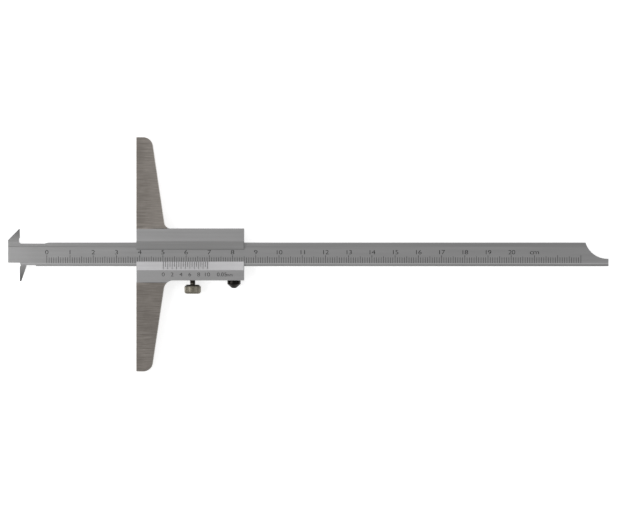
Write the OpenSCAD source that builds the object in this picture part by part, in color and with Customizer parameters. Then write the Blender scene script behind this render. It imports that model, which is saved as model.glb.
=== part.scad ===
// Vernier depth gauge with a double hook, lying on its back.
// +X runs along the beam to its narrow tail, +Y along the bridge, +Z out of the graduated face.
// The origin is under the middle of the gauge, on the surface that it lies on.

/* [Beam] */
// Length of the beam from its head to the tip of its tail
beam_l = 258.6; // [240:0.1:320]
// Height of the beam between its two guide edges
beam_h = 10.2; // [9.6:0.1:11.5]
// Thickness of the beam
beam_t = 3.2; // [2.8:0.1:4]
// Depth of the graduated face under the two lands
scale_recess = 0.15; // [0.1:0.01:0.3]
// Height of the land along the upper edge
upper_land = 1.55; // [1:0.05:2]
// Height of the land along the lower edge
lower_land = 0.8; // [0.5:0.05:1]
// Height of each slope between a land and the graduated face
land_slope = 0.45; // [0.2:0.05:0.6]
// Radius of the scoop that leaves the narrow tail
scoop_r = 9.82; // [8:0.02:11]
// Height of the narrow tail
tail_h = 3.2; // [2.4:0.1:4]
// Length of the straight end of the tail
tail_flat = 0.5; // [0.2:0.1:2]

/* [Double hook] */
// Length of the head behind the hooks' common measuring plane
head_l = 5.05; // [4.5:0.05:6]
// How far the head's lower edge stands above the beam's lower edge
head_cut = 1.46; // [1:0.02:2]
// Length of the lower hook below the beam
lower_hook = 6.5; // [5:0.1:6.6]
// Width of the lower hook at its root
lower_hook_w = 2.8; // [2.2:0.05:3]
// Width of the upper hook's blunt tip
hook_tip_w = 0.3; // [0.2:0.05:0.8]
// Width of the lower hook's blunt tip
lower_tip_w = 0.6; // [0.3:0.05:0.9]
// Thickness of the tips
hook_tip_t = 1.2; // [0.8:0.1:2]
// Height of the upper hook's measuring land
hook_land = 3.65; // [2.5:0.05:4]
// Depth of the relief beside the measuring lands
hook_relief = 0.38; // [0.2:0.02:0.5]
// Radius of the fillet between the upper hook and the neck
hook_fillet = 1; // [0.6:0.1:1]
// Depth of the relief in the neck behind both hooks
neck_cut = 0.44; // [0.3:0.02:0.8]
// Length of the neck along the upper edge
neck_l = 10.8; // [7:0.1:11.2]
// Length of the neck along the lower edge
lower_neck_l = 6.7; // [5:0.1:8]
// Length of the ramp from the upper neck to the full beam
neck_ramp = 1.3; // [0.8:0.1:3]
// Length of the ramp from the lower neck to the full beam
lower_ramp = 0.5; // [0.2:0.1:2]

/* [Scales] */
// Distance from the measuring plane to the zero line, on the beam and on the slide
zero_offset = 11.65; // [10:0.01:13]
// Distance between two lines of the main scale
tick_pitch = 1; // [1:0.5:2]
// Distance between two lines of the vernier
vernier_pitch = 0.95; // [0.9:0.01:1.2]
// Width of an engraved line
tick_w = 0.18; // [0.08:0.01:0.2]
// Depth of an engraved line
tick_d = 0.06; // [0.03:0.01:0.12]
// Length of a millimetre line
tick_short = 2.5; // [2:0.05:2.6]
// Length of a half centimetre line
tick_mid = 2.9; // [2.6:0.05:3.1]
// Length of a centimetre line
tick_long = 3.4; // [3:0.05:3.6]
// Gap between the lines and the slope of the lower land
tick_gap = 0.05; // [0.02:0.01:0.2]
// Plain length of the graduated face at the tail
tail_plain = 11.8; // [10:0.1:20]
// Length of a plain vernier line along the bevel
vernier_short = 2.6; // [2.2:0.1:3]
// Length of a numbered vernier line along the bevel
vernier_long = 3.8; // [3.2:0.1:4]

/* [Slide] */
// Reading at rest, from the bridge's face to the hooks' measuring plane
reading = 50.25; // [0:0.05:200]
// Length of the slide
slide_l = 46.4; // [44:0.1:60]
// Height of the slide above the beam
upper_rail = 6.05; // [5.5:0.05:8]
// Height of the slide below the beam
lower_rail = 6.15; // [5.8:0.05:8]
// Thickness of the wall behind the beam
back_t = 1.9; // [1.6:0.1:3]
// Thickness of the two lips in front of the beam
lip_t = 2.4; // [2:0.1:3]
// Thickness left at the edges of the lips
lip_edge = 0.3; // [0.2:0.05:0.6]
// How far the upper lip covers the beam
upper_lip = 3.08; // [2:0.05:3.2]
// How far the vernier lip covers the beam
lower_lip = 2; // [1.7:0.05:2.3]
// Height of the bevel on the upper lip
upper_bevel = 3.54; // [2.5:0.05:4]
// Height of the bevel that carries the vernier
vernier_bevel = 3.7; // [3.3:0.05:4]
// How far the slide's end stands back from the measuring face
face_relief = 0.05; // [0.02:0.01:0.1]

/* [Bridge] */
// Length of the bridge
bridge_l = 100.8; // [80:0.2:160]
// Width of an arm where it meets the slide
arm_root_w = 12.3; // [12.2:0.1:14]
// Width of an arm at its tip, before its corner is rounded
arm_tip_w = 6.5; // [5:0.1:8]
// How far the arms' front stands below the slide's
arm_step = 0.3; // [0.1:0.05:1]
// Radius of the outer corners
arm_corner_r = 4; // [2:0.1:5]
// Radius of the fillet between the upper arm and the slide
upper_root_r = 2.8; // [2:0.1:4]
// Radius of the fillet between the lower arm and the slide
lower_root_r = 4.05; // [3:0.05:5]
// Distance from the slide's top edge down to the upper arm
upper_shoulder = 0.15; // [0.05:0.05:0.6]
// Distance from the slide's bottom edge down to the lower arm
lower_shoulder = 0.95; // [0.6:0.05:1.5]
// Width of the web behind the slide
web_w = 12.1; // [11:0.1:12.2]
// Width of the arms' feet beside the slide
foot_w = 13.2; // [12.8:0.1:14]

/* [Bridge fasteners] */
// Diameter of the bridge screws
bridge_screw_d = 2; // [1.6:0.1:2.4]
// Diameter of their countersunk heads
bridge_screw_head_d = 3.6; // [3.2:0.1:4]
// Height of their heads
bridge_screw_head_h = 1.1; // [0.8:0.1:1.2]
// How deep they stand in the slide
bridge_screw_grip = 3.4; // [2:0.1:4]
// Distance of the screws from the measuring face
bridge_screw_x = 9; // [8:0.1:9.5]
// Diameter of the dowels
dowel_d = 1.5; // [1:0.1:2]
// How deep the dowels stand in the slide
dowel_grip = 3; // [2:0.1:4]
// Distance of the dowels from the measuring face
dowel_x = 4.9; // [4.5:0.1:5.5]

/* [Gib] */
// Thickness of the gib strip
gib_t = 1; // [0.8:0.05:1.2]
// Gap behind the gib, which the leaf springs fill
spring_gap = 0.82; // [0.7:0.02:1]
// Thickness of a leaf spring
spring_t = 0.25; // [0.15:0.01:0.3]
// Width of a leaf spring
spring_w = 2.6; // [2:0.1:2.8]
// Gap along the channel between a leaf spring and the clamp pad
spring_pad_gap = 0.4; // [0.3:0.1:1]
// Gap along the channel between the right leaf spring and its gib pin
spring_pin_gap = 3.1; // [1:0.1:5]
// Diameter of the set screws
set_screw_d = 2; // [1.6:0.1:2.4]
// How deep the set screws stand in the slide's edge
set_screw_sink = 0.25; // [0.1:0.05:1]
// Diameter of the gib pins
gib_pin_d = 1.2; // [1:0.05:1.3]
// How deep the gib pins stand in the vernier lip
gib_pin_grip = 1.1; // [0.6:0.1:1.4]
// Distance of the gib pins from the slide's two ends
gib_pin_inset = 5.4; // [4.6:0.1:6]

/* [Lock screw] */
// How far the lock screw stands to the right of the slide's middle
lock_offset = 1; // [0:0.1:2]
// Diameter of the screw
lock_d = 2.5; // [2:0.1:3]
// Length of bare screw between the slide and the head at rest
lock_neck = 1.8; // [1:0.1:3]
// Diameter of the knurled head
lock_head_d = 7.1; // [6:0.1:7.4]
// Length of the knurled head
lock_head_l = 3.95; // [3:0.05:6]
// Height of the cone on the head's inner side
lock_cone = 0.9; // [0.3:0.05:1.1]
// Width of the head's rounded outer rim
lock_rim = 0.9; // [0.2:0.05:1.1]
// Depth of the dish turned in the head's end
lock_dish = 0.1; // [0.05:0.05:0.3]
// Number of grooves in the knurl
knurl_count = 40; // [24:1:60]
// Depth of a knurl groove
knurl_d = 0.12; // [0.05:0.01:0.2]
// Diameter of the clamp pad
pad_d = 2.4; // [1.8:0.1:2.9]
// Thickness of the clamp pad
pad_t = 0.9; // [0.6:0.1:1.5]
// Diameter of the pad's spigot in the screw
pad_spigot_d = 1.1; // [0.8:0.1:1.4]
// Length of the pad's spigot
pad_spigot_l = 1.2; // [0.8:0.1:2]
// Gap between the pad and the gib at rest
pad_gap = 0.1; // [0.05:0.01:0.2]

/* [Stud] */
// Distance from the slide's right end to the stud
stud_inset = 4.4; // [4:0.1:6]
// Diameter of the stud
stud_d = 5.8; // [4:0.1:6.5]
// Length of the stud's straight part
stud_body = 1.55; // [1:0.05:3]
// Whole length of the stud outside the slide
stud_l = 3.3; // [2.5:0.1:6]
// Diameter of the stud's blunt tip
stud_tip_d = 1.85; // [1:0.05:3]
// Diameter of the stud's spigot
stud_spigot_d = 3; // [2:0.1:4]
// Length of the stud's spigot
stud_spigot_l = 3; // [2:0.1:3.4]

/* [Fits] */
// Gap between the beam and each face that guides it
face_fit = 0.05; // [0.02:0.01:0.1]
// Gap between the beam's edges and their guides
edge_fit = 0.02; // [0.01:0.01:0.1]
// Gap round a pressed or threaded piece
tight_fit = 0.01; // [0.01:0.01:0.03]
// Gap round a piece that turns or slides in a bore
turn_fit = 0.02; // [0.02:0.01:0.1]
// Gap round the lower hook in its pocket
pocket_fit = 0.2; // [0.15:0.05:0.4]

/* [Hidden] */

// Overrun of every cut
cut = 1;
// Segments of small and of large arcs
fine = 72;
long_arc = 720;

// Small features of the screws
slot_w = 0.4;
slot_d = 0.5;
head_sink = 0.1;
drill_end = 0.3;
stud_chamfer = 0.15;

// Levels along Z, from the surface that the gauge lies on
beam_z = back_t + face_fit;
lip_z = beam_z + beam_t + face_fit;
edge_z = lip_z + lip_edge;
slide_t = lip_z + lip_t;
arm_t = slide_t - arm_step;
bore_z = slide_t / 2;

// Levels along Y, from the middle of the beam
half_h = beam_h / 2;
slot_top = half_h + edge_fit;
gib_top = -half_h - edge_fit;
gib_low = gib_top - gib_t;
slot_low = gib_low - spring_gap;
window_top = half_h - upper_lip;
window_low = lower_lip - half_h;
bevel_top = window_top + upper_bevel;
bevel_low = window_low - vernier_bevel;
slide_top = half_h + upper_rail;
slide_low = -half_h - lower_rail;
arm_top = slide_top - upper_shoulder;
arm_low = slide_low - lower_shoulder;
neck_y = half_h - neck_cut;

// Places along X
hook_x = head_l - beam_l / 2;
slide_x = hook_x + reading;
tail_x = beam_l - head_l;
pocket_w = lower_hook_w + pocket_fit;
gib_inset = pocket_w + 2 * pocket_fit;
lock_x = slide_l / 2 + lock_offset;
stud_x = slide_l - stud_inset;

// The hooks' tips: the upper one ends just inside the arm's shoulder
upper_tip = arm_top - face_fit;
lower_tip = -half_h - lower_hook;
pocket_low = lower_tip - pocket_fit;

// The engraved lines
tick_y = lower_land + land_slope + tick_gap - half_h;
tick_count = floor((tail_x - zero_offset - tail_plain) / tick_pitch);
vernier_lines = 20;
bevel_lean = atan((slide_t - edge_z) / vernier_bevel);

// Places of the fasteners
upper_rail_y = (slot_top + arm_top) / 2;
lower_rail_y = (slot_low + arm_low) / 2;
gib_pin_y = gib_low - spring_gap / 2;

// The leaf springs fill the channel between the pad and the right gib pin, and each has its set screw in its middle
spring_l = slide_l - gib_pin_inset - gib_pin_d / 2 - spring_pin_gap - lock_x - pad_d / 2 - spring_pad_gap;
spring_half = spring_l / 2;
set_screw_reach = pad_d / 2 + spring_pad_gap + spring_half;

// Arc of a leaf spring, from its rise over half its length
spring_rise = spring_gap - spring_t - 2 * edge_fit;
spring_r = (spring_half * spring_half + spring_rise * spring_rise) / (2 * spring_rise);

// The lock screw, whose tip stands behind the pad
pad_y = gib_low - pad_gap;
lock_tip_y = pad_y - pad_t - turn_fit;
lock_shank_l = lock_tip_y - slide_low + lock_neck;

// Outline of the beam seen from the front, x from the hooks' measuring plane
module beam_plan() {
    difference() {
        union() {
            polygon([
                [-head_l, head_cut - half_h],
                [0, head_cut - half_h],
                [hook_relief, neck_cut - half_h],
                [0, -half_h - neck_cut],
                [0, lower_tip],
                [lower_tip_w, lower_tip],
                [lower_hook_w, -half_h],
                [lower_hook_w, -neck_y],
                [lower_neck_l, -neck_y],
                [lower_neck_l + lower_ramp, -half_h],
                [tail_x, -half_h],
                [tail_x, half_h],
                [neck_l + neck_ramp, half_h],
                [neck_l, neck_y],
                [-hook_relief, neck_y],
                [-hook_relief, upper_tip - hook_land - 2 * hook_relief],
                [0, upper_tip - hook_land],
                [0, upper_tip],
                [-hook_tip_w, upper_tip],
                [-head_l, upper_tip - head_l + hook_tip_w]
            ]);
            difference() {
                translate([-hook_relief, neck_y]) square(hook_fillet);
                translate([hook_fillet - hook_relief, neck_y + hook_fillet]) circle(hook_fillet, $fn = fine);
            }
        }
        translate([tail_x - tail_flat, scoop_r + tail_h - half_h]) circle(scoop_r, $fn = long_arc);
    }
}

// Section of the beam: two lands, the graduated face between them, and hooks that thin to their tips
module beam_section() {
    polygon([
        [lower_tip, (beam_t - hook_tip_t) / 2],
        [-half_h, 0],
        [half_h, 0],
        [upper_tip, beam_t - hook_tip_t],
        [upper_tip, beam_t],
        [half_h - upper_land, beam_t],
        [half_h - upper_land - land_slope, beam_t - scale_recess],
        [lower_land + land_slope - half_h, beam_t - scale_recess],
        [lower_land - half_h, beam_t],
        [-half_h, beam_t],
        [lower_tip, (beam_t + hook_tip_t) / 2]
    ]);
}

module beam_ticks() {
    for (i = [0 : tick_count]) {
        length = i % 10 == 0 ? tick_long : i % 5 == 0 ? tick_mid : tick_short;
        translate([zero_offset + i * tick_pitch - tick_w / 2, tick_y]) square([tick_w, length]);
    }
}

module beam() {
    color("gainsboro") translate([hook_x, 0, beam_z]) difference() {
        intersection() {
            linear_extrude(beam_t) beam_plan();
            translate([-head_l, 0, 0]) rotate([90, 0, 90]) linear_extrude(beam_l) beam_section();
        }
        translate([0, 0, beam_t - scale_recess - tick_d]) linear_extrude(tick_d + scale_recess) beam_ticks();
    }
}

// One arm seen from the front: it leaves the slide's edge with a fillet and narrows to a round corner
module arm_plan(edge, root_r) {
    tip = bridge_l / 2;
    lean = atan((arm_root_w - arm_tip_w) / (tip - edge));
    out = [cos(lean), sin(lean)];
    shift = (1 - sin(lean)) / cos(lean);
    corner = [arm_tip_w - arm_corner_r * shift, tip - arm_corner_r];
    root = [arm_root_w + root_r * shift, edge + root_r];
    difference() {
        polygon([[0, 0], [arm_root_w, 0], [arm_root_w, edge], [arm_tip_w, tip], [0, tip]]);
        difference() {
            polygon([
                corner, corner + [0, arm_corner_r + cut],
                [arm_tip_w + cut, tip + cut], corner + out * (arm_corner_r + cut)
            ]);
            translate(corner) circle(arm_corner_r, $fn = fine);
        }
    }
    difference() {
        polygon([[root.x, edge - cut], root, root - out * (root_r + cut), [arm_root_w - cut, edge - cut]]);
        translate(root) circle(root_r, $fn = fine);
    }
}

// Outline of the slide and the bridge together, x from the measuring face
module slide_plan() {
    translate([0, slide_low]) square([slide_l, slide_top - slide_low]);
    arm_plan(slide_top, upper_root_r);
    mirror([0, 1]) arm_plan(-slide_low, lower_root_r);
}

// The part of that outline that is the bridge's arms
module arm_zone() {
    translate([-cut, arm_top]) square([foot_w + cut, bridge_l]);
    translate([-cut, arm_low - bridge_l]) square([foot_w + cut, bridge_l]);
}

// Pocket that takes the lower hook when the gauge reads zero
module hook_pocket() {
    translate([-cut, pocket_low, back_t])
        cube([pocket_w + cut, gib_top - pocket_low, lip_z + pocket_fit - back_t]);
}

// Section of the channel for the beam and gib, with the window and its two bevels in front
module slot_section() {
    polygon([
        [slot_low, back_t], [slot_top, back_t], [slot_top, lip_z],
        [window_top, lip_z], [window_top, edge_z], [bevel_top, slide_t], [bevel_top, slide_t + cut],
        [bevel_low, slide_t + cut], [bevel_low, slide_t], [window_low, edge_z], [window_low, lip_z],
        [slot_low, lip_z]
    ]);
}

// The vernier's lines, cut square to its bevel
module vernier_ticks() {
    for (i = [0 : vernier_lines]) {
        length = i % 2 == 0 ? vernier_long : vernier_short;
        translate([zero_offset + i * vernier_pitch, window_low, edge_z]) rotate([180 - bevel_lean, 0, 0])
            translate([-tick_w / 2, -cut, -cut]) cube([tick_w, length + cut, tick_d + cut]);
    }
}

// A round hole from the slide's lower edge, at a place along the slide
module edge_bore(x, d, from_y, to_y) {
    translate([x, to_y, bore_z]) rotate([90, 0, 0]) cylinder(h = to_y - from_y, d = d, $fn = fine);
}

module slide_body() {
    color("silver") translate([slide_x, 0, 0]) difference() {
        linear_extrude(slide_t) difference() {
            slide_plan();
            arm_zone();
            translate([face_relief - cut, -bridge_l / 2]) square([cut, bridge_l]);
        }
        translate([-cut, arm_low - cut, -cut]) cube([web_w + cut, arm_top - arm_low + 2 * cut, back_t + cut]);
        translate([-cut, 0, 0]) rotate([90, 0, 90]) linear_extrude(slide_l + 2 * cut) slot_section();
        hook_pocket();
        vernier_ticks();
        edge_bore(lock_x, lock_d + 2 * turn_fit, slide_low - cut, slot_low + cut);
        for (side = [-1, 1])
            edge_bore(lock_x + side * set_screw_reach, set_screw_d + 2 * tight_fit, slide_low - cut, slot_low + cut);
        edge_bore(stud_x, stud_spigot_d + 2 * tight_fit, slide_low - cut, slide_low + stud_spigot_l + drill_end);
        for (x = [gib_pin_inset, slide_l - gib_pin_inset])
            translate([x, gib_pin_y, back_t])
                cylinder(h = lip_z + gib_pin_grip + tight_fit - back_t, d = gib_pin_d + 2 * tight_fit, $fn = fine);
        for (y = [upper_rail_y, lower_rail_y]) {
            translate([bridge_screw_x, y, 0]) cylinder(h = back_t + bridge_screw_grip + drill_end,
                d = bridge_screw_d + 2 * tight_fit, $fn = fine);
            translate([dowel_x, y, 0])
                cylinder(h = back_t + dowel_grip + drill_end, d = dowel_d + 2 * tight_fit, $fn = fine);
        }
    }
}

module bridge() {
    color("rosybrown") translate([slide_x, 0, 0]) difference() {
        union() {
            linear_extrude(arm_t) intersection() {
                slide_plan();
                arm_zone();
            }
            translate([0, arm_low - cut, 0]) cube([web_w, arm_top - arm_low + 2 * cut, back_t]);
        }
        hook_pocket();
        for (y = [upper_rail_y, lower_rail_y]) {
            translate([bridge_screw_x, y, 0]) {
                translate([0, 0, -cut]) cylinder(h = head_sink + cut, d = bridge_screw_head_d + 2 * turn_fit, $fn = fine);
                translate([0, 0, head_sink]) cylinder(h = bridge_screw_head_h,
                    d1 = bridge_screw_head_d + 2 * turn_fit, d2 = bridge_screw_d + 2 * turn_fit, $fn = fine);
                cylinder(h = back_t + cut, d = bridge_screw_d + 2 * turn_fit, $fn = fine);
            }
            translate([dowel_x, y, -cut]) cylinder(h = back_t + 2 * cut, d = dowel_d + 2 * tight_fit, $fn = fine);
        }
    }
}

// A slotted countersunk screw that holds the bridge's web in the slide
module bridge_screw(y) {
    color("dimgray") translate([slide_x + bridge_screw_x, y, head_sink]) difference() {
        union() {
            cylinder(h = bridge_screw_head_h, d1 = bridge_screw_head_d, d2 = bridge_screw_d, $fn = fine);
            cylinder(h = back_t + bridge_screw_grip - head_sink, d = bridge_screw_d, $fn = fine);
        }
        translate([-bridge_screw_head_d, -slot_w / 2, -cut]) cube([2 * bridge_screw_head_d, slot_w, slot_d + cut]);
    }
}

module bridge_screw_upper() bridge_screw(upper_rail_y);
module bridge_screw_lower() bridge_screw(lower_rail_y);

module bridge_dowel(y) {
    color("gray") translate([slide_x + dowel_x, y, head_sink])
        cylinder(h = back_t + dowel_grip - head_sink, d = dowel_d, $fn = fine);
}

module bridge_dowel_upper() bridge_dowel(upper_rail_y);
module bridge_dowel_lower() bridge_dowel(lower_rail_y);

// Brass strip between the beam's lower edge and the springs
module gib_strip() {
    color("goldenrod") translate([slide_x, 0, 0]) difference() {
        translate([gib_inset, gib_low, beam_z + face_fit])
            cube([slide_l - 2 * gib_inset, gib_t, lip_z - beam_z - 2 * face_fit]);
        for (x = [gib_pin_inset, slide_l - gib_pin_inset])
            translate([x, gib_pin_y, 0]) cylinder(h = slide_t, d = gib_pin_d + 2 * turn_fit, $fn = fine);
    }
}

// Bowed leaf whose ends press on the gib and whose crown lies on a set screw
module gib_spring(side) {
    crown_y = slot_low + edge_fit;
    color("slategray") translate([slide_x + lock_x + side * set_screw_reach, 0, bore_z - spring_w / 2])
        linear_extrude(spring_w) intersection() {
            translate([0, crown_y + spring_t + spring_r]) difference() {
                circle(spring_r + spring_t, $fn = long_arc);
                circle(spring_r, $fn = long_arc);
            }
            translate([-spring_half, slot_low]) square([spring_l, spring_gap]);
        }
}

module gib_spring_left() gib_spring(-1);
module gib_spring_right() gib_spring(1);

// Slotted screw that sets a leaf spring from the slide's lower edge
module gib_set_screw(side) {
    length = slot_low - slide_low - set_screw_sink;
    color("dimgray") translate([slide_x + lock_x + side * set_screw_reach, slot_low, bore_z]) rotate([90, 0, 0])
        difference() {
            cylinder(h = length, d = set_screw_d, $fn = fine);
            translate([-set_screw_d, -slot_w / 2, length - slot_d]) cube([2 * set_screw_d, slot_w, slot_d + cut]);
        }
}

module gib_set_screw_left() gib_set_screw(-1);
module gib_set_screw_right() gib_set_screw(1);

// Pin in the vernier lip that keeps the gib from walking out of the channel
module gib_pin(x) {
    color("gray") translate([slide_x + x, gib_pin_y, beam_z + face_fit])
        cylinder(h = lip_z + gib_pin_grip - beam_z - face_fit, d = gib_pin_d, $fn = fine);
}

module gib_pin_left() gib_pin(gib_pin_inset);
module gib_pin_right() gib_pin(slide_l - gib_pin_inset);

// Brass pad that turns on the lock screw's tip and presses the gib
module clamp_pad() {
    color("goldenrod") translate([slide_x + lock_x, pad_y, bore_z]) rotate([90, 0, 0]) {
        cylinder(h = pad_t, d = pad_d, $fn = fine);
        cylinder(h = pad_t + pad_spigot_l, d = pad_spigot_d, $fn = fine);
    }
}

// Screw with a straight-knurled head, drawn from its tip outwards
module lock_screw() {
    head = lock_shank_l + lock_head_l;
    head_r = lock_head_d / 2;
    color("tan") translate([slide_x + lock_x, lock_tip_y, bore_z]) rotate([90, 0, 0]) difference() {
        rotate_extrude($fn = fine) polygon([
            [0, 0],
            [lock_d / 2, 0],
            [lock_d / 2, lock_shank_l],
            [head_r - lock_cone, lock_shank_l],
            [head_r, lock_shank_l + lock_cone],
            [head_r, head - lock_rim],
            [head_r - lock_rim / 3, head - lock_rim / 3],
            [head_r - lock_rim, head],
            [lock_d / 2, head],
            [0, head - lock_dish]
        ]);
        translate([0, 0, -cut]) cylinder(h = pad_spigot_l + cut + turn_fit, d = pad_spigot_d + 2 * turn_fit, $fn = fine);
        for (i = [1 : knurl_count]) rotate([0, 0, i * 360 / knurl_count])
            translate([head_r + knurl_d / 2, 0, lock_shank_l])
                cylinder(h = lock_head_l + cut, r = knurl_d * 3 / 2, $fn = 4);
    }
}

// Black stud under the slide's right end
module thumb_stud() {
    color("black") translate([slide_x + stud_x, slide_low + stud_spigot_l, bore_z]) rotate([90, 0, 0])
        rotate_extrude($fn = fine) polygon([
            [0, 0],
            [stud_spigot_d / 2, 0],
            [stud_spigot_d / 2, stud_spigot_l],
            [stud_d / 2 - stud_chamfer, stud_spigot_l],
            [stud_d / 2, stud_spigot_l + stud_chamfer],
            [stud_d / 2, stud_spigot_l + stud_body],
            [stud_tip_d / 2, stud_spigot_l + stud_l],
            [0, stud_spigot_l + stud_l]
        ]);
}

beam();
slide_body();
bridge();
bridge_screw_upper();
bridge_screw_lower();
bridge_dowel_upper();
bridge_dowel_lower();
gib_strip();
gib_spring_left();
gib_spring_right();
gib_set_screw_left();
gib_set_screw_right();
gib_pin_left();
gib_pin_right();
clamp_pad();
lock_screw();
thumb_stud();
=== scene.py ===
import math

import bpy
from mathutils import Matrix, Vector


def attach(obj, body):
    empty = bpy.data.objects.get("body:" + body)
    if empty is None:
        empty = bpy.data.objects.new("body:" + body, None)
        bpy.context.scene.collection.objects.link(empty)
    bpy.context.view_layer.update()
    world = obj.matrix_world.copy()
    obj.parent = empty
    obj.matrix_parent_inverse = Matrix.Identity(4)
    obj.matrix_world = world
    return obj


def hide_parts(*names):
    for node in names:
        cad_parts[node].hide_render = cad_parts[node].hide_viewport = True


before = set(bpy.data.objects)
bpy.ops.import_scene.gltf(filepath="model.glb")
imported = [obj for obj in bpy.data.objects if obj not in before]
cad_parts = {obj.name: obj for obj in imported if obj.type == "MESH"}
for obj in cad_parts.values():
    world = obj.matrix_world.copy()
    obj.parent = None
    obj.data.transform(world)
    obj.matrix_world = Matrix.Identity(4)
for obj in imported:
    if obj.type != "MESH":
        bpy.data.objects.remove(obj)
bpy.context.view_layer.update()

mm = 0.001
weld = 0.003 * mm      # corners nearer than this are one
threadWeld = 0.001 * mm
flatAngle = 0.05       # faces that meet at less than this, in degrees, are one
white = (1, 1, 1, 1)
print("frame loaded:", len(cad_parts), "nodes")


# Small tools for picking and finishing pieces

def clearSelection():
    for item in list(bpy.context.selected_objects):
        item.select_set(False)


def pick(item):
    clearSelection()
    item.select_set(True)
    bpy.context.view_layer.objects.active = item


def named(name):
    item = bpy.context.object
    item.name = name
    item.data.name = name
    return item


def openEdit(item, mode="FACE"):
    pick(item)
    bpy.ops.object.mode_set(mode="EDIT")
    bpy.ops.mesh.select_mode(type=mode)
    bpy.ops.mesh.select_all(action="SELECT")


def closeEdit():
    bpy.ops.object.mode_set(mode="OBJECT")


# put the piece's place, turn and size into its mesh
def settle(item):
    pick(item)
    bpy.ops.object.transform_apply(location=True, rotation=True, scale=True)


def applyAll(item):
    pick(item)
    for modifier in list(item.modifiers):
        bpy.ops.object.modifier_apply(modifier=modifier.name)


def selectVerts(item, test):
    bpy.ops.mesh.select_mode(type="VERT")
    bpy.ops.mesh.select_all(action="DESELECT")
    closeEdit()
    for vert in item.data.vertices:
        vert.select = test(vert.co)
    bpy.ops.object.mode_set(mode="EDIT")


# select the edges that the test takes, given both ends
def selectEdges(item, test):
    bpy.ops.mesh.select_mode(type="EDGE")
    bpy.ops.mesh.select_all(action="DESELECT")
    closeEdit()
    verts = item.data.vertices
    for edge in item.data.edges:
        edge.select = test(verts[edge.vertices[0]].co, verts[edge.vertices[1]].co)
    bpy.ops.object.mode_set(mode="EDIT")


# round faces shade smooth, flat ones stay flat; the angle is in degrees
def smooth(item, angle):
    pick(item)
    bpy.ops.object.shade_smooth_by_angle(angle=math.radians(angle), keep_sharp_edges=False)
    weighted = item.modifiers.new("flatFaces", "WEIGHTED_NORMAL")
    weighted.keep_sharp = True
    weighted.weight = 100    # the widest face decides
    applyAll(item)


# a merged copy of a CAD node, to be dressed in its place
def cleanCopy(node, name):
    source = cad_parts[node]
    item = bpy.data.objects.new(name, source.data.copy())
    bpy.context.scene.collection.objects.link(item)
    item.data.materials.clear()
    item.data.name = name
    openEdit(item)
    bpy.ops.mesh.remove_doubles(threshold=weld)
    bpy.ops.mesh.dissolve_limited(angle_limit=math.radians(flatAngle))
    closeEdit()
    return item


# material and body of a new piece, and the nodes that it stands for
def finishPiece(item, material, body, slot, *nodes):
    item.data.materials.clear()
    item.data.materials.append(material)
    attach(item, body)
    if nodes:
        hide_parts(*nodes)


# Shader helpers

def addNode(tree, kind, **values):
    node = tree.nodes.new(kind)
    for key, value in values.items():
        if hasattr(node, key):
            setattr(node, key, value)
        else:
            node.inputs[key].default_value = value
    return node


# an empty shader node group with number inputs and outputs
def newGroup(name, inputs, outputs):
    group = bpy.data.node_groups.new(name, "ShaderNodeTree")
    for kind, sockets in (("INPUT", inputs), ("OUTPUT", outputs)):
        for socket in sockets:
            group.interface.new_socket(name=socket, in_out=kind, socket_type="NodeSocketFloat")
    return group, group.nodes.new("NodeGroupInput"), group.nodes.new("NodeGroupOutput")


# each of a and b is a number or a socket
def mathNode(tree, operation, a, b, clamp=False):
    node = tree.nodes.new("ShaderNodeMath")
    node.operation = operation
    node.use_clamp = clamp
    for index, value in enumerate((a, b)):
        if isinstance(value, (int, float)):
            node.inputs[index].default_value = value
        else:
            tree.links.new(value, node.inputs[index])
    return node.outputs[0]


def combined(tree, operation, values):
    result = values[0]
    for value in values[1:]:
        result = mathNode(tree, operation, result, value)
    return result


def placeGroup(tree, group, **values):
    node = tree.nodes.new("ShaderNodeGroup")
    node.node_tree = group
    for key, value in values.items():
        node.inputs[key].default_value = value
    return node


# lines left by grinding along X: broad ones that tint, fine ones that catch the light
def makeStreaks():
    group, given, out = newGroup("grindingStreaks", ["Length", "Width"], ["Broad", "Fine"])
    link = group.links.new
    place = addNode(group, "ShaderNodeTexCoord")
    # output, how many times denser along and across than the inputs say, roughness
    for output, along, across, roughness in (("Broad", 1, 1, 0.55), ("Fine", 2.6, 5, 0.7)):
        size = addNode(group, "ShaderNodeCombineXYZ")
        link(mathNode(group, "MULTIPLY", given.outputs["Length"], along), size.inputs["X"])
        for axis in ("Y", "Z"):
            link(mathNode(group, "MULTIPLY", given.outputs["Width"], across), size.inputs[axis])
        stretched = addNode(group, "ShaderNodeVectorMath", operation="MULTIPLY")
        link(place.outputs["Object"], stretched.inputs[0])
        link(size.outputs[0], stretched.inputs[1])
        noise = addNode(group, "ShaderNodeTexNoise", Scale=1.0, Detail=4.0, Roughness=roughness)
        link(stretched.outputs[0], noise.inputs["Vector"])
        link(noise.outputs["Fac"], out.inputs[output])
    return group


# fine even grain of a satin or cast surface, with soft patches of handling
def makeGrain():
    group, given, out = newGroup("satinGrain", ["Size", "Patch"], ["Grain", "Patches"])
    link = group.links.new
    place = addNode(group, "ShaderNodeTexCoord")
    for output, size, detail in (("Grain", "Size", 3.0), ("Patches", "Patch", 4.0)):
        noise = addNode(group, "ShaderNodeTexNoise", Detail=detail, Roughness=0.6)
        link(place.outputs["Object"], noise.inputs["Vector"])
        link(given.outputs[size], noise.inputs["Scale"])
        link(noise.outputs["Fac"], out.inputs[output])
    return group


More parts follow.
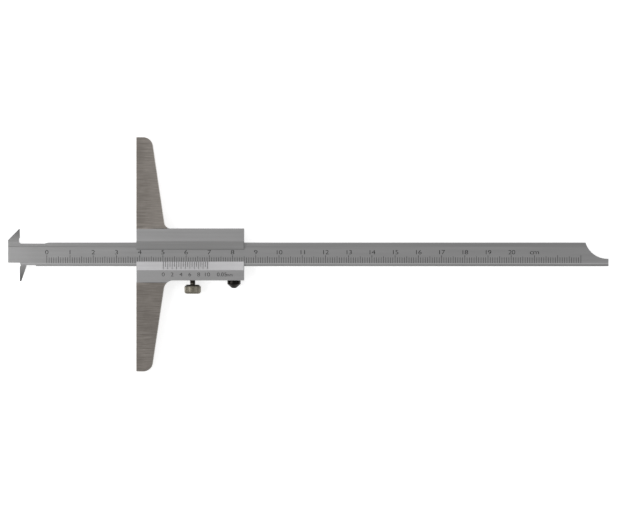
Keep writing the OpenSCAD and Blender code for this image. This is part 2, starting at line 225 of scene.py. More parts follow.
# sparse dark pores and dust specks
def makeSpots():
    group, given, out = newGroup("pores", ["Size", "Amount"], ["Mask"])
    link = group.links.new
    place = addNode(group, "ShaderNodeTexCoord")
    cells = addNode(group, "ShaderNodeTexVoronoi", feature="F1")
    link(place.outputs["Object"], cells.inputs["Vector"])
    link(given.outputs["Size"], cells.inputs["Scale"])
    near = mathNode(group, "SUBTRACT", given.outputs["Amount"], cells.outputs["Distance"])
    sharpness = 12
    link(mathNode(group, "MULTIPLY", near, sharpness, clamp=True), out.inputs["Mask"])
    return group


streakGroup = makeStreaks()
grainGroup = makeGrain()
spotGroup = makeSpots()


# a colour between a and b; each is a plain colour or a socket
def mixColor(tree, factor, a, b):
    node = addNode(tree, "ShaderNodeMix", data_type="RGBA")
    # the mix node's sockets for the factor and for its two colours
    for index, value in ((0, factor), (6, a), (7, b)):
        if isinstance(value, (int, float, tuple)):
            node.inputs[index].default_value = value
        else:
            tree.links.new(value, node.inputs[index])
    return node.outputs[2]


# linear colour from a display level of 0 to 255, with a little warmth
def grey(level, warm=0.0):
    displayGamma = 2.2
    value = (level / 255) ** displayGamma
    return (value * (1 + warm), value, value * (1 - warm), 1)


# source mapped to low..high and clamped; noise mostly lies between the two default limits
def span(tree, source, low, high, fromLow=0.3, fromHigh=0.7):
    node = addNode(tree, "ShaderNodeMapRange")
    for key, value in (("From Min", fromLow), ("From Max", fromHigh), ("To Min", low), ("To Max", high)):
        node.inputs[key].default_value = value
    tree.links.new(source, node.inputs["Value"])
    return node.outputs[0]


def newMaterial(name):
    material = bpy.data.materials.new(name)
    material.use_nodes = True
    tree = material.node_tree
    return material, tree, tree.nodes["Principled BSDF"]


def addBump(tree, surface, height, distance):
    bump = addNode(tree, "ShaderNodeBump", Strength=1.0, Distance=distance)
    tree.links.new(height, bump.inputs["Height"])
    tree.links.new(bump.outputs[0], surface.inputs["Normal"])


# Colour with tints laid over it where their masks show; the tints paint tone as well as light and shade.
# A mask is a row of ramps that are multiplied together, and the strongest mask of a tint counts.
# A ramp is its axis, its share of the tint where it starts and where it ends, and these two places in mm.
def tinted(tree, color, tints):
    place = addNode(tree, "ShaderNodeTexCoord")
    split = addNode(tree, "ShaderNodeSeparateXYZ")
    tree.links.new(place.outputs["Object"], split.inputs[0])
    for tone, masks in tints:
        shares = []
        for ramps in masks:
            spans = [span(tree, split.outputs[axis], first, last, start * mm, end * mm)
                     for axis, first, last, start, end in ramps]
            shares.append(combined(tree, "MULTIPLY", spans))
        color = mixColor(tree, combined(tree, "MAXIMUM", shares), color, tone)
    return color


poreTone = grey(40)


# a metal with grinding streaks, grain, patches and pores; spec holds its own values
def metal(name, spec):
    material, tree, surface = newMaterial(name)
    surface.inputs["Metallic"].default_value = 1.0
    streaks = placeGroup(tree, streakGroup, Length=spec["streakLength"], Width=spec["streakWidth"])
    grain = placeGroup(tree, grainGroup, Size=spec["grain"], Patch=spec["patch"])
    spots = placeGroup(tree, spotGroup, Size=spec["pores"], Amount=spec["poreAmount"])
    color = mixColor(tree, span(tree, streaks.outputs["Broad"], 0, 1), spec["dark"], spec["light"])
    color = mixColor(tree, span(tree, grain.outputs["Patches"], 0, spec["patchDepth"]), color, spec["dark"])
    if "tints" in spec:
        color = tinted(tree, color, spec["tints"])
    pores = mathNode(tree, "MULTIPLY", spots.outputs["Mask"], spec["poreDepth"])
    color = mixColor(tree, pores, color, poreTone)
    tree.links.new(color, surface.inputs["Base Color"])
    swing = spec["roughSwing"]
    rough = mathNode(tree, "ADD", span(tree, grain.outputs["Patches"], -swing, swing),
                     span(tree, streaks.outputs["Fine"], spec["rough"] - swing, spec["rough"] + swing))
    tree.links.new(rough, surface.inputs["Roughness"])
    height = mathNode(tree, "ADD", mathNode(tree, "MULTIPLY", streaks.outputs["Fine"], spec["streakDepth"]),
                      mathNode(tree, "MULTIPLY", grain.outputs["Grain"], spec["grainDepth"]))
    addBump(tree, surface, height, mm)
    return material


beamToneAndLight = [
    # the chrome ends at the hooks, which are ground down to bare darker steel; their darkening towards the
    # tips is also painted shade of the faces that turn from the light there
    (grey(118, 0.01), [
        [("Y", 0, 1, 4.1, 12.0)],
        [("Y", 0, 1, -3.9, -10.2)],
    ]),
    # the lands are painted darker: the upper one a little near the head, and both towards the right end as
    # painted shade
    (grey(96, 0.03), [
        [("Y", 0, 1, 3.2, 3.5), ("X", 0.07, 0, -70, -30)],
        [("Y", 0, 1, 3.2, 3.5), ("X", 0.03, 0.19, -20, 95)],
        [("Y", 1, 0, -4.4, -4.25), ("X", 0, 0.25, 20, 95)],
    ]),
    # painted highlights on the beam's upper edge, the slope of the lower land and the head's plate
    (white, [
        [("Y", 0, 1, 4.68, 4.8), ("X", 0.06, 0.2, -75, -30), ("Y", 1, 0, 5.2, 5.3)],
        [("Z", 0, 1, 4.995, 5.02), ("Z", 1, 0, 5.10, 5.15),
         ("Y", 0, 0.24, -4.45, -4.35), ("Y", 1, 0, -3.6, -3.4)],
        [("X", 0.05, 0, -125, -118), ("Y", 0, 1, -4.5, -4.0), ("Y", 1, 0, 3.2, 3.6)],
    ]),
]
slideToneAndShade = [
    # the outer edges are painted darker as shade, the thin edge of the upper lip carries a painted shadow,
    # and the ground of the scale is darker than the faces
    (grey(80), [
        [("Y", 0, 0.65, 10.8, 10.95), ("Z", 1, 0, 7.50, 7.58)],
        [("Y", 0, 0.5, -10.9, -11.05), ("Z", 1, 0, 7.50, 7.58)],
        [("X", 0, 0.3, -27.95, -27.85), ("Z", 1, 0, 7.50, 7.58)],
        [("Z", 0.35, 0, 5.55, 5.8), ("Y", 0, 1, 1.5, 1.9)],
        [("X", 0, 0.12, -63.1, -62.7), ("X", 1, 0, -42.9, -42.5),
         ("Y", 0, 1, -6.9, -6.2), ("Y", 1, 0, -3.1, -3.0)],
    ]),
]
armLightAndShade = [
    # painted light makes the upper arm lighter towards its inner edge, and painted shade makes the lower
    # arm a little darker
    (grey(205, 0.09), [[("Y", 0, 1, 10.0, 12.0), ("X", 0, 0.22, -73, -62)]]),
    (grey(96, 0.1), [[("Y", 0.1, 0, -14, -12)]]),
]
screwShade = [
    # painted shade on the shank with the inner side of the head, and on the head's outer rim
    (grey(62, 0.12), [[("Y", 0, 0.82, -13.95, -13.55)], [("Y", 0, 0.5, -16.3, -16.9)]]),
]

# streaks, grain, patches and pores are counts for each metre; depths are in mm or shares
satinChrome = {
    "dark": grey(178, 0.005), "light": grey(188, 0.005), "rough": 0.36, "roughSwing": 0.04,
    "streakLength": 26, "streakWidth": 900, "streakDepth": 0.0006,
    "grain": 7000, "grainDepth": 0.0008, "patch": 55, "patchDepth": 0.35,
    "pores": 900, "poreAmount": 0.06, "poreDepth": 0.25, "tints": slideToneAndShade,
}
groundSteel = {
    "dark": grey(125, 0.105), "light": grey(182, 0.095), "rough": 0.34, "roughSwing": 0.05,
    "streakLength": 135, "streakWidth": 2600, "streakDepth": 0.0022,
    "grain": 9000, "grainDepth": 0.0006, "patch": 110, "patchDepth": 0.8,
    "pores": 1100, "poreAmount": 0.08, "poreDepth": 0.4, "tints": armLightAndShade,
}
brightSteel = {
    "dark": grey(170), "light": grey(190), "rough": 0.22, "roughSwing": 0.04,
    "streakLength": 700, "streakWidth": 3000, "streakDepth": 0.0008,
    "grain": 12000, "grainDepth": 0.0004, "patch": 300, "patchDepth": 0.3,
    "pores": 3000, "poreAmount": 0.05, "poreDepth": 0.3,
}
darkSteel = {
    "dark": grey(52, 0.02), "light": grey(74, 0.02), "rough": 0.42, "roughSwing": 0.06,
    "streakLength": 900, "streakWidth": 2500, "streakDepth": 0.0008,
    "grain": 9000, "grainDepth": 0.0012, "patch": 400, "patchDepth": 0.4,
    "pores": 2500, "poreAmount": 0.08, "poreDepth": 0.4,
}
springSteel = {
    "dark": (0.055, 0.07, 0.13, 1), "light": (0.11, 0.12, 0.17, 1), "rough": 0.3, "roughSwing": 0.05,
    "streakLength": 120, "streakWidth": 4000, "streakDepth": 0.0008,
    "grain": 9000, "grainDepth": 0.0004, "patch": 350, "patchDepth": 0.6,
    "pores": 3000, "poreAmount": 0.05, "poreDepth": 0.3,
}
brassFinish = {
    "dark": (0.46, 0.32, 0.12, 1), "light": (0.6, 0.45, 0.19, 1), "rough": 0.33, "roughSwing": 0.05,
    "streakLength": 40, "streakWidth": 2500, "streakDepth": 0.0012,
    "grain": 8000, "grainDepth": 0.0006, "patch": 180, "patchDepth": 0.5,
    "pores": 2200, "poreAmount": 0.07, "poreDepth": 0.4,
}
beamChrome = {**satinChrome, "dark": grey(169, 0.005), "light": grey(179, 0.005), "tints": beamToneAndLight}
nickelPlate = {
    "dark": (0.243, 0.227, 0.187, 1), "light": (0.412, 0.382, 0.316, 1), "rough": 0.46, "roughSwing": 0.06,
    "streakLength": 2600, "streakWidth": 500, "streakDepth": 0.0008,
    "grain": 8000, "grainDepth": 0.0010, "patch": 500, "patchDepth": 0.5,
    "pores": 2600, "poreAmount": 0.09, "poreDepth": 0.5, "tints": screwShade,
}

chromeMaterial = metal("satinChrome", satinChrome)
beamMaterial = metal("satinChromeBeam", beamChrome)
groundMaterial = metal("groundSteel", groundSteel)
brightMaterial = metal("brightSteel", brightSteel)
darkMaterial = metal("darkSteel", darkSteel)
springMaterial = metal("springSteel", springSteel)
brassMaterial = metal("brass", brassFinish)
nickelMaterial = metal("nickelPlate", nickelPlate)


oxideFinish = {
    "dark": grey(28, 0.1), "light": grey(52, 0.1), "roughBy": "Patches", "rough": (0.22, 0.34),
    "grain": 7000, "grainDepth": 0.0006, "patch": 420,
}
paintFinish = {
    "dark": grey(4), "light": grey(22), "roughBy": "Grain", "rough": (0.6, 0.85),
    "grain": 5000, "patch": 900, "shine": 0.15,
}


# a dark finish that is worn lighter in patches
def wornFinish(tree, surface, spec):
    grain = placeGroup(tree, grainGroup, Size=spec["grain"], Patch=spec["patch"])
    color = mixColor(tree, span(tree, grain.outputs["Patches"], 0, 1), spec["dark"], spec["light"])
    tree.links.new(color, surface.inputs["Base Color"])
    tree.links.new(span(tree, grain.outputs[spec["roughBy"]], *spec["rough"]), surface.inputs["Roughness"])
    return grain


# glossy blackened steel
def blackOxide():
    material, tree, surface = newMaterial("blackOxide")
    surface.inputs["Metallic"].default_value = 1.0
    grain = wornFinish(tree, surface, oxideFinish)
    addBump(tree, surface, grain.outputs["Grain"], oxideFinish["grainDepth"] * mm)
    return material


# matt black paint that fills the engraved lines
def linePaint():
    material, tree, surface = newMaterial("linePaint")
    surface.inputs["Specular IOR Level"].default_value = paintFinish["shine"]
    wornFinish(tree, surface, paintFinish)
    return material


oxideMaterial = blackOxide()
paintMaterial = linePaint()
print("materials made:", len(bpy.data.materials))


# Beam: flat graduated bar with its double hook and narrow tail

beamSizes = {
    "edgeBevel": 0.05 * mm,
    "smoothAngle": 15,
    "guide": 5.1 * mm,           # half the beam's height
    "backFace": 1.95 * mm,
    "frontFace": 5.15 * mm,
    "zeroLine": -112.6 * mm,
    "pitch": 1.0 * mm,
    "centimetres": 23,
    "lineWidth": 0.178 * mm,
    "lineFoot": -3.8 * mm,
    "lineLengths": (3.4 * mm, 2.9 * mm, 2.5 * mm),    # centimetre, half centimetre, millimetre
    "grooveFloor": 4.94 * mm,
    "paintTop": 4.99 * mm,
    "lastFigure": 20,
    "figureHeight": 1.8 * mm,
    "unitShare": 0.72,           # height of the unit's letters, as a share of the figures'
    # a figure below the first number is stretched to the second
    "figureWidths": ((2, 1.22), (10, 1.36), (22, 1.3)),
    "figureSpacing": 0.88,
    "pairShift": 0.25 * mm,      # figures of two digits stand a little to the right of their lines
    "figureFoot": 0.02 * mm,
    "figureLevel": 5.0 * mm,
    "paintRise": 0.006 * mm,
    "paintRoot": 0.02 * mm,
}
plateEase = (0.8, 0.99)    # width and length of a painted line's top, as shares of its foot
fontSteps = 6              # points in each curve of a figure
fontHalf = 0.5             # half a figure's thickness, before it is scaled to the paint's
fontWeld = 0.0001          # in heights of the font
fontThin = -0.01           # figures are thinner than the font's, by this share of its height


# ease the edges that lie at one level of a flat piece; test can leave some out
def easeLevel(item, level, width, segments, test=None):
    slack = 0.02 * mm

    def taken(a, b):
        atLevel = abs(a.z - level) < slack and abs(b.z - level) < slack
        return atLevel and (test is None or test(a, b))

    openEdit(item, "EDGE")
    selectEdges(item, taken)
    bpy.ops.mesh.bevel(offset=width, segments=segments, clamp_overlap=True, loop_slide=False)
    closeEdit()


def makeBeam():
    s = beamSizes
    item = cleanCopy("beam", "beamBar")
    inner = s["guide"] - s["edgeBevel"]

    # the long edges of the lands' slopes stay sharp
    def outline(a, b):
        return max(abs(a.y), abs(b.y)) > inner or abs(a.y - b.y) > s["edgeBevel"]

    easeLevel(item, s["frontFace"], s["edgeBevel"], 2, outline)
    easeLevel(item, s["backFace"], s["edgeBevel"], 1)
    smooth(item, s["smoothAngle"])
    finishPiece(item, beamMaterial, "beam", "satin_chrome", "beam")


# one painted line, a thin plate with its upper edges eased
def linePlate(x, y, length, width, low, high):
    clearSelection()
    bpy.ops.mesh.primitive_cube_add(size=1, location=(x, y + length / 2, (low + high) / 2))
    item = named("lineSeed")
    item.scale = (width, length, high - low)
    settle(item)
    openEdit(item)
    selectVerts(item, lambda co: co.z > (low + high) / 2)
    bpy.ops.transform.resize(value=(*plateEase, 1), center_override=(x, y + length / 2, high))
    closeEdit()
    return item


# repeat the piece along X
def repeat(item, step, count):
    rows = item.modifiers.new("rows", "ARRAY")
    rows.count = count
    rows.use_relative_offset = False
    rows.use_constant_offset = True
    rows.constant_offset_displace = (step, 0, 0)
    applyAll(item)


def joined(items, name):
    clearSelection()
    for item in items:
        item.select_set(True)
    bpy.context.view_layer.objects.active = items[0]
    bpy.ops.object.join()
    return named(name)


def makeBeamLines():
    s = beamSizes
    long, mid, short = s["lineLengths"]
    count = s["centimetres"]
    # place in the centimetre, length, how many
    rows = [(0, long, count + 1), (5, mid, count)]
    rows += [(n, short, count) for n in (1, 2, 3, 4, 6, 7, 8, 9)]
    groups = []
    for n, length, many in rows:
        seed = linePlate(s["zeroLine"] + n * s["pitch"], s["lineFoot"], length, s["lineWidth"],
                         s["grooveFloor"], s["paintTop"])
        repeat(seed, 10 * s["pitch"], many)
        groups.append(seed)
    item = joined(groups, "beamLines")
    finishPiece(item, paintMaterial, "beam", "satin_chrome")


# painted figure: text made a thin closed mesh, set to its height over the foot line that s gives
def label(s, text, height, x, wide, spacing=1.0, bold=fontThin):
    clearSelection()
    bpy.ops.object.text_add(location=(0, 0, 0))
    item = bpy.context.object
    item.data.body = text
    item.data.align_x = "CENTER"
    item.data.resolution_u = fontSteps
    item.data.extrude = fontHalf
    item.data.offset = bold
    item.data.space_character = spacing
    pick(item)
    bpy.ops.object.convert(target="MESH")
    item = named("figure")
    openEdit(item)
    bpy.ops.mesh.remove_doubles(threshold=fontWeld)
    bpy.ops.mesh.normals_make_consistent(inside=False)
    closeEdit()
    tall = [vert.co.y for vert in item.data.vertices]
    sides = [vert.co.x for vert in item.data.vertices]
    scale = height / (max(tall) - min(tall))
    middle = (max(sides) + min(sides)) / 2
    rise, root = s["paintRise"], s["paintRoot"]
    item.scale = (scale * wide, scale, rise + root)
    item.location = (x - middle * scale * wide, s["figureFoot"] - min(tall) * scale,
                     s["figureLevel"] + (rise - root) / 2)
    settle(item)
    return item


def makeBeamFigures():
    s = beamSizes
    figures = []
    for n in range(s["lastFigure"] + 2):
        isUnit = n > s["lastFigure"]
        words = "cm" if isUnit else str(n)
        height = s["figureHeight"] * (s["unitShare"] if isUnit else 1)
        shift = s["pairShift"] if len(words) > 1 and not isUnit else 0
        wide = next(width for below, width in s["figureWidths"] if n < below)
        x = s["zeroLine"] + 10 * n * s["pitch"] + shift
        figures.append(label(s, words, height, x, wide, s["figureSpacing"]))
    item = joined(figures, "beamFigures")
    finishPiece(item, paintMaterial, "beam", "satin_chrome")


makeBeam()
makeBeamLines()
makeBeamFigures()
print("beam made, with its lines and figures")


# Slide: milled slider with its window, bevels and vernier

slideSizes = {
    "edgeBevel": 0.14 * mm,
    "smoothAngle": 20,
    "front": 7.6 * mm,
    "back": 0.0,
    "zeroLine": -62.35 * mm,
    "pitch": 0.95 * mm,
    "lineWidth": 0.178 * mm,
    "bevelEdge": (-3.1 * mm, 5.5 * mm),    # y and z of the bevel's lower edge
    "lean": math.atan(2.1 / 3.7),          # the bevel rises 2.1 mm over 3.7 mm
    "lineLengths": (3.8 * mm, 2.6 * mm),
    "lineCounts": (11, 10),
    "taperStart": 1.6 * mm,                # the paint of the long lines grows thin from here,
    "taperEnd": 0.08,                      # to this share of its width
    "grooveDepth": 0.06 * mm,
    "paintDepth": 0.012 * mm,
    "figures": 6,
    "figureHeight": 1.6 * mm,
    "figureWidth": 1.2,
    "figureFoot": -9.45 * mm,
    "figureLevel": 7.6 * mm,
    "unitMarks": (                         # words, height, x, width, thickening
        ("0.05", 1.6 * mm, -37.2 * mm, 1.1, -0.004),
        ("mm", 0.9 * mm, -33.95 * mm, 0.96, -0.004),
    ),
    "paintRise": 0.001 * mm,
    "paintRoot": 0.02 * mm,
}


def makeSlide():
    s = slideSizes
    item = cleanCopy("slide_body", "slideBlock")
    easeLevel(item, s["front"], s["edgeBevel"], 2)
    easeLevel(item, s["back"], s["edgeBevel"], 1)
    smooth(item, s["smoothAngle"])
    finishPiece(item, chromeMaterial, "slide", "satin_chrome", "slide_body")


# the long lines stand at every second place from the first on, the short ones between them
def makeVernierLines():
    s = slideSizes
    slack = 0.01 * mm
    edgeY, edgeZ = s["bevelEdge"]
    across = Vector((0, -math.cos(s["lean"]), math.sin(s["lean"])))    # up the bevel, away from the beam
    sink = (s["grooveDepth"] + s["paintDepth"]) / 2
    groups = []
    for first, (length, count) in enumerate(zip(s["lineLengths"], s["lineCounts"])):
        clearSelection()
        bpy.ops.mesh.primitive_cube_add(size=1, location=(0, 0, 0))
        seed = named("lineSeed")
        seed.scale = (s["lineWidth"], length, s["grooveDepth"] - s["paintDepth"])
        if first == 0:
            settle(seed)
            openEdit(seed)
            bpy.ops.mesh.bisect(plane_co=(0, length / 2 - s["taperStart"], 0), plane_no=(0, 1, 0))
            selectVerts(seed, lambda co: co.y < slack - length / 2)
            bpy.ops.transform.resize(value=(s["taperEnd"], 1, 1))
            closeEdit()
        middle = across * (length / 2)
        seed.rotation_euler = (-s["lean"], 0, 0)
        seed.location = (s["zeroLine"] + first * s["pitch"], edgeY + middle.y - math.sin(s["lean"]) * sink,
                         edgeZ + middle.z - math.cos(s["lean"]) * sink)
        settle(seed)
        repeat(seed, 2 * s["pitch"], count)
        groups.append(seed)
    item = joined(groups, "vernierLines")
    finishPiece(item, paintMaterial, "slide", "satin_chrome")


# a figure stands at every fourth line
def makeVernierFigures():
    s = slideSizes
    figures = []
    for n in range(s["figures"]):
        x = s["zeroLine"] + 4 * n * s["pitch"]
        figures.append(label(s, str(2 * n), s["figureHeight"], x, s["figureWidth"]))
    for words, height, x, wide, bold in s["unitMarks"]:
        figures.append(label(s, words, height, x, wide, bold=bold))
    item = joined(figures, "vernierFigures")
    finishPiece(item, paintMaterial, "slide", "satin_chrome")


makeSlide()
makeVernierLines()
makeVernierFigures()
print("slide made, with its vernier")


# Bridge: ground cross bar with the two arms

bridgeSizes = {"edgeBevel": 0.18 * mm, "smoothAngle": 32, "front": 7.3 * mm, "back": 0.0}


def makeBridge():
    s = bridgeSizes
    item = cleanCopy("bridge", "bridgeBar")
    easeLevel(item, s["front"], s["edgeBevel"], 2)
    easeLevel(item, s["back"], s["edgeBevel"], 1)
    smooth(item, s["smoothAngle"])
    finishPiece(item, groundMaterial, "slide", "ground_steel", "bridge")


makeBridge()
print("bridge made")


# Turned pieces: each starts as a disc and grows ring by ring along -Y

# profile: (distance along -Y, radius) from the inner end outwards
def turned(name, centre, profile, sides):
    clearSelection()
    at, radius = profile[0]
    bpy.ops.mesh.primitive_circle_add(vertices=sides, radius=radius, fill_type="NGON",
                                      location=(centre.x, centre.y - at, centre.z),
                                      rotation=(math.pi / 2, 0, 0))
    item = named(name)
    settle(item)
    openEdit(item)
    for nextAt, nextRadius in profile[1:]:
        bpy.ops.mesh.extrude_region_move(TRANSFORM_OT_translate={"value": (0, at - nextAt, 0)})
        if nextRadius != radius:
            ratio = nextRadius / radius
            ring = (centre.x, centre.y - nextAt, centre.z)
            bpy.ops.transform.resize(value=(ratio, 1, ratio), center_override=ring)
        at, radius = nextAt, nextRadius
    bpy.ops.mesh.select_all(action="SELECT")
    bpy.ops.mesh.normals_make_consistent(inside=False)
    closeEdit()
    return item


lockSizes = {
    "axis": Vector((-49.8 * mm, 0, 3.8 * mm)),
    "tip": 7.14 * mm,
    "headStart": 13.05 * mm,
    "headEnd": 17.0 * mm,
    "rootRadius": 1.04 * mm,
    "crestRadius": 1.25 * mm,
    "pitch": 0.45 * mm,
    "headRadius": 3.55 * mm,
    "cone": 0.9 * mm,
    "rim": 1.0 * mm,
    "face": 0.6 * mm,                      # width of the flat ring between rim and dish
    "dish": 0.1 * mm,
    "dishRings": (1.4 * mm, 0.3 * mm),
    # how far the corners are eased, along the axis and outwards
    "tipEase": 0.15 * mm,
    "neckEase": (0.12 * mm, 0.14 * mm),
    "footEase": (0.05 * mm, 0.02 * mm),
    "coneEase": (0.06 * mm, 0.07 * mm),
    "rimCurve": ((1, 0), (0.62, 0.1), (0.3, 0.3), (0.1, 0.62), (0, 1)),
    "boreRadius": 0.57 * mm,
    "boreDepth": 1.22 * mm,
    "grooves": 40,
    "sidesPerGroove": 4,
    "grooveDepth": 0.13 * mm,
    "grooveShare": 0.1,                    # half a groove's width, as a share of the groove's step
    "knurlStart": 0.45 * mm,               # from the head's inner and outer end, and inwards from its side
    "knurlEnd": 0.2 * mm,
    "knurlReach": 0.7 * mm,
    "threadHalf": 0.44,                    # half the foot of the thread's section, as a share of the pitch
    "threadRoot": 0.03 * mm,               # how deep the thread stands in the shank
    "threadStart": 0.4 * mm,               # from the tip
    "threadEnd": 0.25 * mm,                # from the head
    "threadSteps": 48,
    "smoothAngle": 35,
}


# most corners of the profile are two points, to ease them
def makeLockScrew():
    s = lockSizes
    r = s["headRadius"]
    foot = r - s["cone"]
    start, end = s["headStart"], s["headEnd"]
    neckAlong, neckOut = s["neckEase"]
    footAlong, footOut = s["footEase"]
    coneAlong, coneOut = s["coneEase"]
    profile = [
        (s["tip"], s["boreRadius"]),
        (s["tip"], s["rootRadius"] - s["tipEase"]),
        (s["tip"] + s["tipEase"], s["rootRadius"]),
        (start - neckAlong, s["rootRadius"]),
        (start, s["rootRadius"] + neckOut),
        (start, foot - footAlong),
        (start + footAlong, foot + footOut),
        (start + s["cone"] - coneAlong, r - coneOut),
        (start + s["cone"] + coneAlong, r),
    ]
    profile += [(end - s["rim"] * back, r - s["rim"] * inward) for back, inward in s["rimCurve"]]
    profile.append((end, r - s["rim"] - s["face"]))
    profile += [(end - s["dish"], ring) for ring in s["dishRings"]]
    item = turned("lockScrewHead", s["axis"], profile, s["grooves"] * s["sidesPerGroove"])
    openEdit(item)

    def fromAxis(co):
        return math.hypot(co.x - s["axis"].x, co.z - s["axis"].z)

    # the disc at the tip goes in and leaves the bore for the pad's spigot
    slack = 0.0001 * mm
    selectVerts(item, lambda co: abs(co.y + s["tip"]) < slack and fromAxis(co) < s["boreRadius"] + slack)
    bpy.ops.mesh.select_mode(type="FACE")
    bpy.ops.mesh.extrude_region_move(TRANSFORM_OT_translate={"value": (0, -s["boreDepth"], 0)})
    grooveStep = 2 * math.pi / s["grooves"]

    # the knurl covers the head's side and the outer part of its rim
    def inGroove(co):
        if -co.y < start + s["knurlStart"] or -co.y > end - s["knurlEnd"]:
            return False
        if fromAxis(co) < r - s["knurlReach"]:
            return False
        turn = (math.atan2(co.z - s["axis"].z, co.x - s["axis"].x) / grooveStep) % 1
        return turn < s["grooveShare"] or turn > 1 - s["grooveShare"]

    selectVerts(item, inGroove)
    ratio = 1 - s["grooveDepth"] / r
    bpy.ops.transform.resize(value=(ratio, 1, ratio), center_override=(s["axis"].x, 0, s["axis"].z))
    closeEdit()
    # thread: a small triangle carried round the shank, its two ends closed
    clearSelection()
    bpy.ops.mesh.primitive_circle_add(vertices=3, fill_type="NGON", location=(0, 0, 0))
    thread = named("lockThread")
    half = s["pitch"] * s["threadHalf"]
    root = s["rootRadius"] - s["threadRoot"]
    corners = [(root, -half), (root, half), (s["crestRadius"], 0.0)]
    for vert, (out, along) in zip(thread.data.vertices, corners):
        vert.co = (out, 0, along)
    turns = int((start - s["threadEnd"] - s["tip"] - s["threadStart"]) / s["pitch"])
    screw = thread.modifiers.new("helix", "SCREW")
    screw.axis = "Z"
    screw.steps = s["threadSteps"]
    screw.render_steps = s["threadSteps"]
    screw.iterations = turns
    screw.screw_offset = s["pitch"]
    screw.use_merge_vertices = False
    screw.use_normal_calculate = True
    applyAll(thread)
    thread.rotation_euler = (math.pi / 2, 0, 0)
    thread.location = (s["axis"].x, -(s["tip"] + s["threadStart"]), s["axis"].z)
    settle(thread)
    openEdit(thread)
    bpy.ops.mesh.remove_doubles(threshold=threadWeld)
    bpy.ops.mesh.select_all(action="DESELECT")
    bpy.ops.mesh.select_mode(type="EDGE")
    bpy.ops.mesh.select_non_manifold(extend=False)
    bpy.ops.mesh.fill_holes(sides=3)
    bpy.ops.mesh.select_all(action="SELECT")
    bpy.ops.mesh.normals_make_consistent(inside=False)
    closeEdit()
    item = joined([item, thread], "lockScrew")
    smooth(item, s["smoothAngle"])
    finishPiece(item, nickelMaterial, "lock_screw", "nickel_plate", "lock_screw")


studSizes = {
    "axis": Vector((-32.0 * mm, 0, 3.8 * mm)),
    "inner": 8.25 * mm,
    "slideEdge": 11.25 * mm,
    "shoulder": 12.8 * mm,
    "tip": 14.55 * mm,
    "radius": 2.9 * mm,
    "spigot": 1.5 * mm,
    "spigotEase": 0.2 * mm,
    "tipRadius": 0.925 * mm,
    "lastRing": 0.2 * mm,
    "chamfer": 0.15 * mm,
    "chamferMiddle": (0.4, 0.3),           # along the axis and inwards, as shares of the chamfer
    # points of the two rounded corners: along the axis, then inwards at the shoulder, outwards at the tip
    "shoulderCurve": ((-0.08 * mm, 0), (0.03 * mm, 0.04 * mm), (0.14 * mm, 0.16 * mm)),
    "tipCurve": ((-0.18 * mm, 0.2 * mm), (-0.06 * mm, 0.04 * mm), (0, -0.12 * mm)),
    "sides": 96,
    "smoothAngle": 35,
}


def makeStud():
    s = studSizes
    r = s["radius"]
    edge, chamfer = s["slideEdge"], s["chamfer"]
    midAlong, midIn = s["chamferMiddle"]
    profile = [
        (s["inner"], s["spigot"] - s["spigotEase"]),
        (s["inner"] + s["spigotEase"], s["spigot"]),
        (edge, s["spigot"]),
        (edge, r - chamfer),
        (edge + chamfer * midAlong, r - chamfer * midIn),
        (edge + chamfer, r),
    ]
    profile += [(s["shoulder"] + along, r - inward) for along, inward in s["shoulderCurve"]]
    profile += [(s["tip"] + along, s["tipRadius"] + outward) for along, outward in s["tipCurve"]]
    profile.append((s["tip"], s["lastRing"]))
    item = turned("thumbStud", s["axis"], profile, s["sides"])
    smooth(item, s["smoothAngle"])
    finishPiece(item, oxideMaterial, "slide", "black_oxide", "thumb_stud")


makeLockScrew()
makeStud()
print("lock screw and stud turned")


# Fasteners that show at the back and along the lower edge, with eased edges

fastenerSizes = {
    "screwEase": 0.04 * mm,
    "pinEase": 0.08 * mm,
    "gibEase": 0.06 * mm,
    "easeSegments": 2,
    "easeAngle": 40,
    "smoothAngle": 40,
}


def makeFastener(node, name, width, material, slot):
    s = fastenerSizes
    item = cleanCopy(node, name)
    ease = item.modifiers.new("ease", "BEVEL")
    ease.width = width
    ease.segments = s["easeSegments"]
    ease.limit_method = "ANGLE"
    ease.angle_limit = math.radians(s["easeAngle"])
    applyAll(item)
    smooth(item, s["smoothAngle"])
    finishPiece(item, material, "slide", slot, node)


screwLook = (fastenerSizes["screwEase"], darkMaterial, "dark_steel")
pinLook = (fastenerSizes["pinEase"], brightMaterial, "bright_steel")
for side in ("upper", "lower"):
    makeFastener("bridge_screw_" + side, "bridgeScrew." + side, *screwLook)
    makeFastener("bridge_dowel_" + side, "bridgeDowel." + side, *pinLook)
for side in ("left", "right"):
    makeFastener("gib_set_screw_" + side, "setScrew." + side, *screwLook)
    makeFastener("gib_pin_" + side, "gibPin." + side, *pinLook)
makeFastener("gib_strip", "gibStrip", fastenerSizes["gibEase"], brassMaterial, "brass")

# the inner pieces that no side shows keep their CAD meshes
for node, material in (("gib_spring_left", springMaterial), ("gib_spring_right", springMaterial),
                       ("clamp_pad", brassMaterial)):
    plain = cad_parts[node]
    plain.data.materials.clear()
    plain.data.materials.append(material)
print("fasteners and inner pieces dressed")


# Floor, light and camera

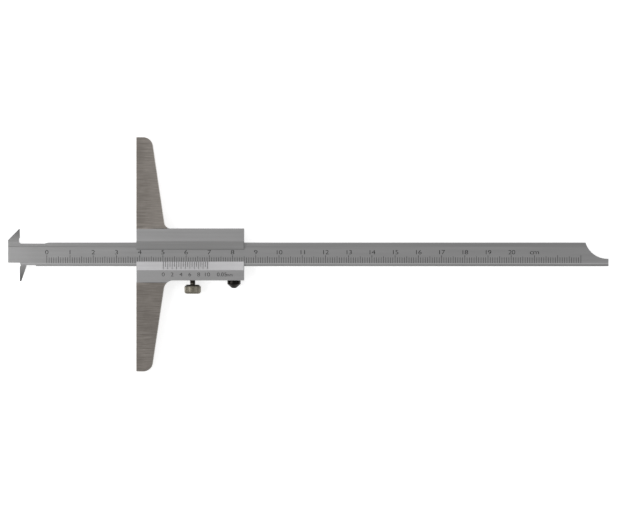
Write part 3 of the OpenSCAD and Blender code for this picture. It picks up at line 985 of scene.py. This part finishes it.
stageLook = {
    "floorSize": 6,
    "floorColor": (0.8, 0.8, 0.8, 1),
    "floorRoughness": 0.9,
    "floorShine": 0.1,
    "floorGlow": 0.68,         # the camera and reflections see it, and it lights nothing else
    "roomFront": (0.47, 0.47, 0.47, 1),
    "roomBack": (0.55, 0.55, 0.56, 1),
    "roomLow": (0.2, 0.2, 0.2, 1),
    "roomTurn": 0.9,           # front turns into back between minus and plus this Y of a direction
    "roomRise": 0.3,           # and low into both between level and this Z
}
lamps = {
    # name: (place, size, watts, colour)
    "farBox": (Vector((-0.15, 1.05, 0.62)), 0.8, 1.62, (0.98, 0.97, 1.0)),
    "headBox": (Vector((-0.36, 0.0, 0.30)), 0.3, 0.72, (1, 1, 1)),
}
cameraSizes = {
    "place": (0.00075, -0.00029, 2.005),
    "sensor": 36,
    "distance": 2.0,
    "field": 0.267,       # width of the picture at that distance
    "clip": 20,
}


def makeFloor():
    s = stageLook
    clearSelection()
    bpy.ops.mesh.primitive_plane_add(size=s["floorSize"], location=(0, 0, 0))
    floor = named("floor")
    material, tree, surface = newMaterial("paleFloor")
    surface.inputs["Base Color"].default_value = s["floorColor"]
    surface.inputs["Roughness"].default_value = s["floorRoughness"]
    surface.inputs["Specular IOR Level"].default_value = s["floorShine"]
    path = addNode(tree, "ShaderNodeLightPath")
    rays = [path.outputs[name] for name in ("Is Camera Ray", "Is Glossy Ray", "Is Transmission Ray")]
    seen = combined(tree, "MAXIMUM", rays)
    glow = addNode(tree, "ShaderNodeEmission")
    tree.links.new(mathNode(tree, "MULTIPLY", seen, s["floorGlow"]), glow.inputs["Strength"])
    both = addNode(tree, "ShaderNodeAddShader")
    tree.links.new(surface.outputs[0], both.inputs[0])
    tree.links.new(glow.outputs[0], both.inputs[1])
    tree.links.new(both.outputs[0], tree.nodes["Material Output"].inputs["Surface"])
    floor.data.materials.append(material)


def makeLamps():
    for name, (place, size, watts, color) in lamps.items():
        light = bpy.data.lights.new(name, "AREA")
        light.shape = "SQUARE"
        light.size = size
        light.energy = watts
        light.color = color
        lamp = bpy.data.objects.new(name, light)
        lamp.location = place
        lamp.rotation_euler = (-place).to_track_quat("-Z", "Y").to_euler()
        bpy.context.scene.collection.objects.link(lamp)


def makeWorld():
    s = stageLook
    world = bpy.data.worlds.new("paleRoom")
    bpy.context.scene.world = world
    world.use_nodes = True
    tree = world.node_tree
    ray = addNode(tree, "ShaderNodeTexCoord")
    split = addNode(tree, "ShaderNodeSeparateXYZ")
    tree.links.new(ray.outputs["Generated"], split.inputs[0])
    side = span(tree, split.outputs["Y"], 0, 1, -s["roomTurn"], s["roomTurn"])
    color = mixColor(tree, side, s["roomFront"], s["roomBack"])
    rise = span(tree, split.outputs["Z"], 0, 1, 0.0, s["roomRise"])
    color = mixColor(tree, rise, s["roomLow"], color)
    tree.links.new(color, tree.nodes["Background"].inputs["Color"])


def makeCamera():
    s = cameraSizes
    data = bpy.data.cameras.new("camera")
    data.lens = s["sensor"] * s["distance"] / s["field"]
    data.clip_end = s["clip"]
    camera = bpy.data.objects.new("camera", data)
    camera.location = s["place"]
    bpy.context.scene.collection.objects.link(camera)
    bpy.context.scene.camera = camera


makeFloor()
makeLamps()
makeWorld()
makeCamera()
bpy.context.scene.view_settings.view_transform = "Standard"
print("floor, light and camera set")
